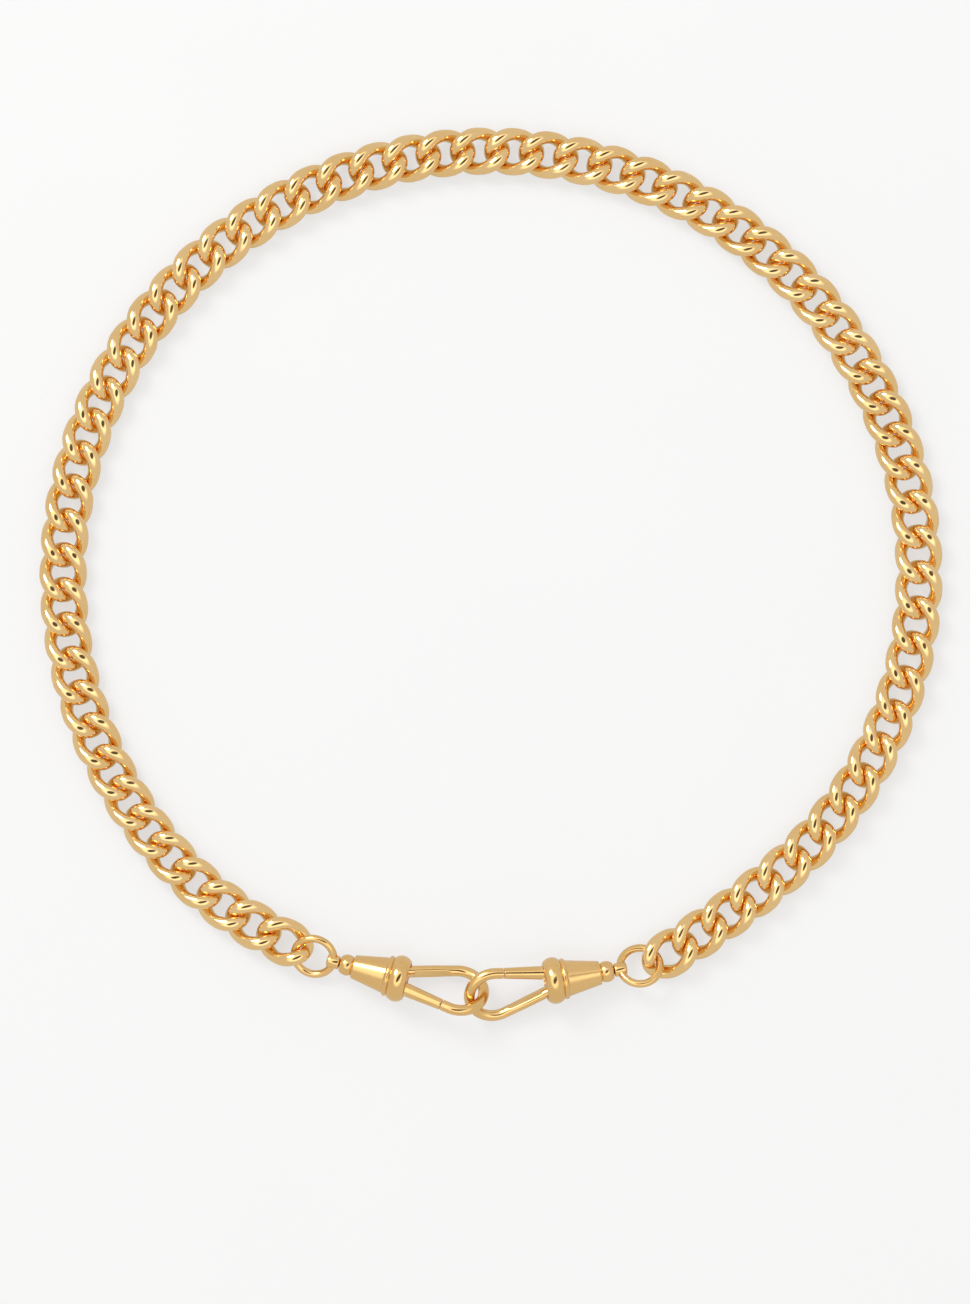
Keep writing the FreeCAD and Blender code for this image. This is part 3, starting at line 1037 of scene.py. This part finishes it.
@dataclass
class Hook:
    """Base plug, fixed arm with a flat filed on its inner side, and round nose.

    Args:
        wire: Diameter of the wire.
        arm_v: How far the arm stands from the clip's middle line at the collar.
        nose_centre: Middle of the nose's curve.
        nose_radius: Radius of that curve, to the middle of the wire.
        flat: From the arm's middle to the flat.
        flat_ends: Lengths left round at the base and at the nose.
        fade_ends: Lengths over which the flat fades in and out.
        root_depth: Length of the arm inside the base.
        arm_spread: How much wider than round wire the arm is pressed at the base.
        spread_end: Share of the arm over which that width fades towards the nose.
        base_front: Place of the base's front face.
        base_length: Length of the base.
        base_radius: Radius of the base.
        hinge: Where the gate's pin crosses the clip.
        joint_u: Where the nose ends and the gate begins.
        slot_half_width: Half the width of the slot for the gate's knuckle.
        slot_top: How high the slot reaches.
        cut_margin: How far the slot's cutter reaches past the base.
        edge_rounding: How far from each edge of the base its rounding starts.
        sides: Vertices around the wire.
        arm_stations: Rings of vertices along the arm.
        nose_stations: Rings along the nose's curve.
        tip_stations: Rings along the nose's straight end.
    """

    wire: float = 1.86
    arm_v: float = 2.05
    nose_centre: tuple[float, float] = (8.9, 0.78)
    nose_radius: float = 4.18
    flat: float = 0.6
    flat_ends: tuple[float, float] = (0.5, 0.7)
    fade_ends: tuple[float, float] = (0.25, 0.9)
    root_depth: float = 0.4
    arm_spread: float = 0.2
    spread_end: float = 0.55
    base_front: float = -0.15
    base_length: float = 2.2
    base_radius: float = 2.95
    hinge: tuple[float, float] = (-0.9, -1.7)
    joint_u: float = 6.9
    slot_half_width: float = 0.85
    slot_top: float = -0.3
    cut_margin: float = 0.5
    edge_rounding: float = 0.12
    sides: int = 48
    arm_stations: int = 60
    nose_stations: int = 72
    tip_stations: int = 8

    def touch(self, point: tuple[float, float]) -> tuple[float, float]:
        """Find the line from a point that touches the nose's circle.

        Args:
            point: Where the line starts, on the arm or at the gate's hinge.

        Returns:
            The line's slope in radians and its length.
        """
        du, dv = self.nose_centre[0] - point[0], self.nose_centre[1] - point[1]
        distance = math.hypot(du, dv)
        lean = math.asin(self.nose_radius / distance)
        slope = math.atan2(dv, du) + (lean if point[1] > 0 else -lean)
        return slope, math.sqrt(distance ** 2 - self.nose_radius ** 2)

    def path(self) -> tuple[list[Vector], list[float], list[float]]:
        """Lay out the middle line from the base to the gate's joint, and the wire's shape along it.

        Returns:
            The points, how far the inner side stands from the middle at each of them, and how many
            times wider than round wire it is there.
        """
        arm_slope, arm_length = self.touch((0, self.arm_v))
        gate_slope, gate_length = self.touch(self.hinge)
        radius = self.wire / 2
        start = Vector((0, self.arm_v, 0))
        run = Vector((math.cos(arm_slope), math.sin(arm_slope), 0))
        points, depths, widths = [], [], []
        arm_start = self.base_front - self.root_depth
        for i in range(self.arm_stations + 1):
            s = arm_start + (arm_length - arm_start) * i / self.arm_stations
            points.append(start + run * s)
            rising = ease((s - self.flat_ends[0]) / self.fade_ends[0])
            falling = ease((arm_length - self.flat_ends[1] - s) / self.fade_ends[1])
            depths.append(radius + (self.flat - radius) * min(rising, falling))
            widths.append(1 + self.arm_spread * ease((1 - s / arm_length) / self.spread_end))
        centre = Vector((*self.nose_centre, 0))
        turn = math.pi + arm_slope - gate_slope
        first = arm_slope + math.pi / 2
        for i in range(1, self.nose_stations + 1):
            angle = first - turn * i / self.nose_stations
            points.append(centre + Vector((math.cos(angle), math.sin(angle), 0)) * self.nose_radius)
        gate_run = Vector((math.cos(gate_slope), math.sin(gate_slope), 0))
        hinge = Vector((*self.hinge, 0))
        joint = (self.joint_u - hinge.x) / gate_run.x
        for i in range(1, self.tip_stations + 1):
            reach = gate_length + (joint - gate_length) * i / self.tip_stations
            points.append(hinge + gate_run * reach)
        round_stations = len(points) - len(depths)
        return points, depths + [radius] * round_stations, widths + [1.0] * round_stations

    def section(self, depth: float, width: float) -> list[tuple[float, float]]:
        """Draw the outline of the wire.

        Args:
            depth: How far its inner side stands from the middle.
            width: How many times wider than round it is.

        Returns:
            The outline as (across, up) pairs.
        """
        radius = self.wire / 2
        angles = [FULL_TURN * j / self.sides for j in range(self.sides)]
        return [(min(radius * math.cos(a), depth), radius * width * math.sin(a)) for a in angles]

    def build(self, side: Side, place: Matrix) -> list[bpy.types.Object]:
        """Make the hook's wire and its base plug.

        Args:
            side: Which clip.
            place: The clip's frame.

        Returns:
            The two pieces.
        """
        points, depths, widths = self.path()
        node, body = f"{side.value}_clip_hook", f"{side.value}_clip"
        wire = swept(points, lambda i: self.section(depths[i], widths[i]), Vector((0, 0, 1)))
        back = self.base_front - self.base_length
        outline = [(back, AXIS_RADIUS), (back, self.base_radius), (self.base_front, self.base_radius),
                   (self.base_front, AXIS_RADIUS)]
        plug = turned(softened(outline, self.edge_rounding))
        pieces = [placed_piece(f"{side.value}_hook", [wire], place, body, [node]),
                  placed_piece(f"{side.value}_hook_base", [plug], place, body, [node])]
        bottom = -self.base_radius - self.cut_margin
        corner = Vector((back - self.cut_margin, bottom, -self.slot_half_width))
        length = self.base_length + 2 * self.cut_margin
        size = Vector((length, self.slot_top - bottom, 2 * self.slot_half_width))
        cut_away(pieces[1], corner, size, place)
        return pieces


@dataclass
class Gate:
    """Sprung rod between the collar and the nose, with the knuckle that it turns on.

    Args:
        hook: The hook that it closes.
        root_radius: Radius of the rod at the hinge.
        gap: Room between the rod and the nose, and between the rod and the collar.
        opens: How many degrees it opens.
        knuckle_radius: Radius of the knuckle.
        knuckle_width: Width of the knuckle along the pin.
        pin_radius: Radius of the knuckle's bore.
        edge_rounding: How far from each edge its rounding starts.
        block: Side of the block that trims the rod at the collar.
        tongue_reach: Where the tongue starts and ends, measured from the pin.
        tongue_half: Half the tongue's thickness.
        tongue_inset: How much less than the knuckle it reaches to each side.
        stations: Rings of vertices along the rod.
        sides: Vertices around the rod.
        knuckle_rounding: How far from each edge of the knuckle its rounding starts.
        knuckle_sides: Vertices around the knuckle.
    """

    hook: Hook
    root_radius: float = 1.2
    gap: float = 0.2
    opens: float = 22.0
    knuckle_radius: float = 0.85
    knuckle_width: float = 1.5
    pin_radius: float = 0.4
    edge_rounding: float = 0.12
    block: float = 10.0
    tongue_reach: tuple[float, float] = (0.62, 1.6)
    tongue_half: float = 0.6
    tongue_inset: float = 0.05
    stations: int = 40
    sides: int = 64
    knuckle_rounding: float = 0.08
    knuckle_sides: int = 48

    def build(self, side: Side, place: Matrix) -> list[bpy.types.Object]:
        """Make the gate of a clip and its knuckle.

        Args:
            side: Which clip.
            place: The clip's frame.

        Returns:
            The rod and the knuckle.
        """
        slope, _ = self.hook.touch(self.hook.hinge)
        hinge = Vector((*self.hook.hinge, 0))
        length = (self.hook.joint_u - hinge.x) / math.cos(slope) - self.gap
        taper = self.hook.wire / 2 - self.root_radius
        shares = [i / self.stations for i in range(self.stations + 1)]
        outline = [(length * share, self.root_radius + taper * share) for share in shares]
        outline = softened([(0.0, AXIS_RADIUS)] + outline + [(length, AXIS_RADIUS)], self.edge_rounding)
        frame_of_rod = Matrix.Translation(hinge) @ Matrix.Rotation(slope, 4, "Z")
        rod = turned(outline, self.sides).moved(frame_of_rod)
        node = f"{side.value}_clip_gate"
        piece = placed_piece(f"{side.value}_gate", [rod], place, f"{side.value}_gate", [node])
        edge = self.hook.base_front + self.gap
        for opening in (0.0, self.opens):
            about = Matrix.Translation(hinge) @ Matrix.Rotation(-math.radians(opening), 4, "Z")
            about = about @ Matrix.Translation(-hinge)
            corner = Vector((edge - self.block, -self.block / 2, -self.block / 2))
            cut_away(piece, corner, Vector((self.block,) * 3), place @ about)
        return [piece, self._knuckle(side, place, hinge)]

    def _knuckle(self, side: Side, place: Matrix, hinge: Vector) -> bpy.types.Object:
        """Make the bored knuckle and the tongue that joins it to the rod.

        Args:
            side: Which clip.
            place: The clip's frame.
            hinge: Middle of the pin.

        Returns:
            The piece.
        """
        half = self.knuckle_width / 2
        ring = turned(softened([(-half, self.pin_radius), (-half, self.knuckle_radius),
                                (half, self.knuckle_radius), (half, self.pin_radius),
                                (-half, self.pin_radius)], self.knuckle_rounding),
                      self.knuckle_sides)
        upright = Matrix.Translation(hinge) @ Matrix.Rotation(-math.pi / 2, 4, "Y")
        slope, _ = self.hook.touch(self.hook.hinge)
        run = Matrix.Translation(hinge) @ Matrix.Rotation(slope, 4, "Z")
        near, far = self.tongue_reach
        outline = [(near, -self.tongue_half), (far, -self.tongue_half), (far, self.tongue_half),
                   (near, self.tongue_half)]
        wide = half - self.tongue_inset
        rows = [[run @ Vector((a, b, w)) for a, b in outline] for w in (-wide, wide)]
        tongue = grid_shell(rows, closed=False)
        return placed_piece(f"{side.value}_gate_knuckle", [ring.moved(upright), tongue], place,
                            f"{side.value}_gate", [f"{side.value}_clip_gate"])


@dataclass
class Swivel:
    """Round ring held by a headed post that turns in the barrel's neck.

    Args:
        ring_wire: Diameter of the ring's wire.
        ring_radius: Radius of the ring to the middle of its wire.
        ring_centre: Place of the ring's middle along the clip.
        boss_radius: Radius of the boss that the ring's wire passes through.
        boss_length: Length of the boss.
        boss_rounding: How far from each edge of the boss its rounding starts.
        post_radius: Radius of the post.
        head_radius: Radius of the post's head inside the neck.
        head_length: Length of the head.
        head_start: Place of the head's near face.
        edge_rounding: How far from each edge of the head its rounding starts.
        stations: Rings of vertices round the ring.
        sides: Vertices around the ring's wire.
        post_sides: Vertices around the post.
    """

    ring_wire: float = 1.3
    ring_radius: float = 3.4
    ring_centre: float = -16.4
    boss_radius: float = 1.15
    boss_length: float = 2.2
    boss_rounding: float = 0.4
    post_radius: float = 0.53
    head_radius: float = 0.95
    head_length: float = 0.6
    head_start: float = -9.45
    edge_rounding: float = 0.12
    stations: int = 128
    sides: int = 32
    post_sides: int = 64

    def build(self, side: Side, place: Matrix) -> list[bpy.types.Object]:
        """Make the ring and the post of a clip.

        Args:
            side: Which clip.
            place: The clip's frame.

        Returns:
            The two pieces.
        """
        body = f"{side.value}_swivel"
        ring_place = solid_frame(solids_of(f"{side.value}_swivel_ring")[0])
        path = [Vector((math.cos(a), math.sin(a), 0)) * self.ring_radius
                for a in (FULL_TURN * i / self.stations for i in range(self.stations))]
        circle = [(math.cos(a) * self.ring_wire / 2, math.sin(a) * self.ring_wire / 2)
                  for a in (FULL_TURN * j / self.sides for j in range(self.sides))]
        ring = swept(path, lambda _: circle, Vector((0, 0, 1)), closed=True)
        boss_start = self.ring_centre + self.ring_radius - self.boss_length / 2
        boss_end = boss_start + self.boss_length
        outline = [(boss_start, AXIS_RADIUS), (boss_start, self.boss_radius), (boss_end, self.boss_radius),
                   (boss_end, self.post_radius), (self.head_start, self.post_radius),
                   (self.head_start, self.head_radius),
                   (self.head_start + self.head_length, self.head_radius),
                   (self.head_start + self.head_length, AXIS_RADIUS)]
        outline = softened(softened(outline, self.boss_rounding), self.edge_rounding)
        post = turned(outline, self.post_sides)
        ring_node, post_node = f"{side.value}_swivel_ring", f"{side.value}_swivel_post"
        return [placed_piece(f"{side.value}_ring", [ring], ring_place, body, [ring_node]),
                placed_piece(f"{side.value}_post", [post], place, body, [post_node])]


@dataclass
class SnapClip:
    """A whole clip of one side.

    Args:
        side: Which clip.
        barrel: Its barrel.
        hook: Its hook.
        swivel: Its ring and post.
        finish: Finish of everything but the spring.
        spring_finish: Finish of the spring.
    """

    side: Side
    barrel: Barrel = field(default_factory=Barrel)
    hook: Hook = field(default_factory=Hook)
    swivel: Swivel = field(default_factory=Swivel)
    # Their grime colours are painted shade in the hollows of the clip's pieces.
    finish: MetalFinish = MetalFinish(
        name="gold plated casting", pale=(0.86, 0.56, 0.235), deep=(0.79, 0.495, 0.185),
        hollow_shade_colour=(0.42, 0.20, 0.05), bright=0.12, dull=0.23, ripple_scale=380.0)
    spring_finish: MetalFinish = MetalFinish(
        name="spring steel", pale=(0.60, 0.58, 0.55), deep=(0.50, 0.48, 0.45),
        hollow_shade_colour=(0.20, 0.18, 0.16), bright=0.22, dull=0.34)

    def build(self) -> list[bpy.types.Object]:
        """Make every piece of the clip.

        Returns:
            The pieces.
        """
        place = clip_frame(self.side)
        pieces = [self.barrel.build(self.side, place)]
        pieces += self.hook.build(self.side, place)
        pieces += Gate(self.hook).build(self.side, place)
        pieces += self.swivel.build(self.side, place)
        return pieces

    def dress(self, pieces: Sequence[bpy.types.Object], effects: SharedEffects) -> None:
        """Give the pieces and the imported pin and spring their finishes.

        Args:
            pieces: The clip's pieces.
            effects: The shared node groups.
        """
        gold = self.finish.build(effects)
        for piece in pieces:
            piece.data.materials.append(gold)
        inner = {f"{self.side.value}_gate_pin": gold,
                 f"{self.side.value}_gate_spring": self.spring_finish.build(effects)}
        for node, material in inner.items():
            slots = frame["nodes"][node].data.materials
            slots.clear()
            slots.append(material)


# Studio -----------------------------------------------------------------
@dataclass
class Studio:
    """Pale floor, white tent with a bright panel overhead, one soft light and the camera.

    Args:
        floor_size: Width of the floor in metres.
        camera_place: Where the camera's axis meets the floor, in metres.
        view_height: What the picture's long side takes in at the chain's height, in metres.
        focus_height: The chain's middle height in metres.
        lens: Focal length in millimetres.
        view_depth: How far the camera sees, in metres.
        tent: Brightness of the tent's walls.
        tent_colour: Colour of its light.
        panel: How much brighter the panel overhead is.
        panel_edge: Heights between which the walls turn into the panel, 1 being straight up.
        opening_turn: Degrees that the dark opening in the panel is turned.
        opening_middle: Middle of the opening, as the level part of its direction.
        opening_half: Half its length and half its width, measured the same way.
        opening_edge: Shares of that size between which it fades out.
        opening_light: Share of the light left inside it.
        light_place: Place of the soft light in metres.
        light_width: Its diameter in metres.
        light_power: Its power in watts.
        bounces: Most bounces of light of any kind.
        mirror_bounces: Most bounces between polished faces.
    """

    floor_size: float = 6.0
    camera_place: tuple[float, float] = (-0.0010, -0.0132)
    view_height: float = 0.22102
    focus_height: float = 0.004
    lens: float = 200.0
    view_depth: float = 20.0
    tent: float = 0.78
    tent_colour: tuple[float, float, float] = (1.0, 0.995, 0.98)
    panel: float = 0.85
    panel_edge: tuple[float, float] = (0.70, 0.90)
    opening_turn: float = 40.0
    opening_middle: tuple[float, float] = (0.10, 0.06)
    opening_half: tuple[float, float] = (0.46, 0.25)
    opening_edge: tuple[float, float] = (0.8, 1.15)
    opening_light: float = 0.07
    light_place: tuple[float, float, float] = (-0.55, 0.6, 0.8)
    light_width: float = 0.5
    light_power: float = 5.0
    bounces: int = 16
    mirror_bounces: int = 12

    def build(self) -> None:
        """Make the floor, the light and the camera."""
        self._floor()
        self._tent()
        self._light()
        self._camera()
        scene = bpy.context.scene
        scene.view_settings.view_transform = "Standard"
        scene.view_settings.look = "None"
        scene.cycles.max_bounces = self.bounces
        scene.cycles.glossy_bounces = self.mirror_bounces

    def _floor(self) -> None:
        """Make the floor, just under the necklace."""
        half = self.floor_size / 2
        mesh = bpy.data.meshes.new("floor")
        corners = [(-half, -half, 0), (half, -half, 0), (half, half, 0), (-half, half, 0)]
        mesh.from_pydata(corners, [], [(0, 1, 2, 3)])
        mesh.materials.append(FloorFinish().build())
        floor = bpy.data.objects.new("floor", mesh)
        bpy.context.scene.collection.objects.link(floor)

    def _tent(self) -> None:
        """Light from all round: white walls, a brighter panel overhead and the dark opening in it."""
        world = bpy.data.worlds.new("tent")
        bpy.context.scene.world = world
        world.use_nodes = True
        kit = NodeKit(world.node_tree)
        background = world.node_tree.nodes["Background"]
        direction = kit.add("ShaderNodeTexCoord").outputs["Generated"]
        parts = kit.add("ShaderNodeSeparateXYZ")
        kit.link(direction, parts.inputs["Vector"])
        height = parts.outputs["Z"]
        panel = kit.spread(height, *self.panel_edge)
        from_middle = kit.add("ShaderNodeVectorMath", operation="SUBTRACT")
        from_middle.inputs[1].default_value = (*self.opening_middle, 0.0)
        kit.link(direction, from_middle.inputs[0])
        turned_to = kit.add("ShaderNodeVectorRotate", rotation_type="Z_AXIS",
                            Angle=-math.radians(self.opening_turn))
        kit.link(from_middle.outputs["Vector"], turned_to.inputs["Vector"])
        stretched = kit.add("ShaderNodeVectorMath", operation="MULTIPLY")
        stretched.inputs[1].default_value = (1 / self.opening_half[0], 1 / self.opening_half[1], 0.0)
        kit.link(turned_to.outputs["Vector"], stretched.inputs[0])
        reach = kit.add("ShaderNodeVectorMath", operation="LENGTH")
        kit.link(stretched.outputs["Vector"], reach.inputs[0])
        opening = kit.spread(reach.outputs["Value"], *self.opening_edge, self.opening_light, 1.0)
        walls = kit.math("ADD", kit.math("MULTIPLY", panel, self.panel), self.tent)
        glow = kit.math("MULTIPLY", walls, opening)
        kit.link(glow, background.inputs["Strength"])
        background.inputs["Color"].default_value = (*self.tent_colour, 1.0)

    def _light(self) -> None:
        """Make the soft light at the upper left."""
        data = bpy.data.lights.new("window side", "AREA")
        data.shape = "DISK"
        data.size = self.light_width
        data.energy = self.light_power
        light = bpy.data.objects.new("window side", data)
        light.location = self.light_place
        light.rotation_euler = (-light.location).to_track_quat("-Z", "Y").to_euler()
        bpy.context.scene.collection.objects.link(light)

    def _camera(self) -> None:
        """Make the camera, straight above and looking down."""
        data = bpy.data.cameras.new("camera")
        data.lens = self.lens
        data.clip_end = self.view_depth
        camera = bpy.data.objects.new("camera", data)
        distance = self.view_height * self.lens / data.sensor_width
        camera.location = (*self.camera_place, self.focus_height + distance)
        bpy.context.scene.collection.objects.link(camera)
        bpy.context.scene.camera = camera


def main() -> None:
    """Build and dress the necklace, then the studio round it."""
    logging.basicConfig(level=logging.INFO, format="%(name)s: %(message)s")
    effects = SharedEffects()
    chain = CurbChain()
    links = chain.build()
    chain.dress(links, effects)
    LOG.info("%d links", len(links))
    for side in Side:
        clip = SnapClip(side)
        pieces = clip.build()
        clip.dress(pieces, effects)
        for piece in pieces:
            LOG.info("%s: %d faces", piece.name, len(piece.data.polygons))
    Studio().build()


if __name__ == "__main__":
    main()
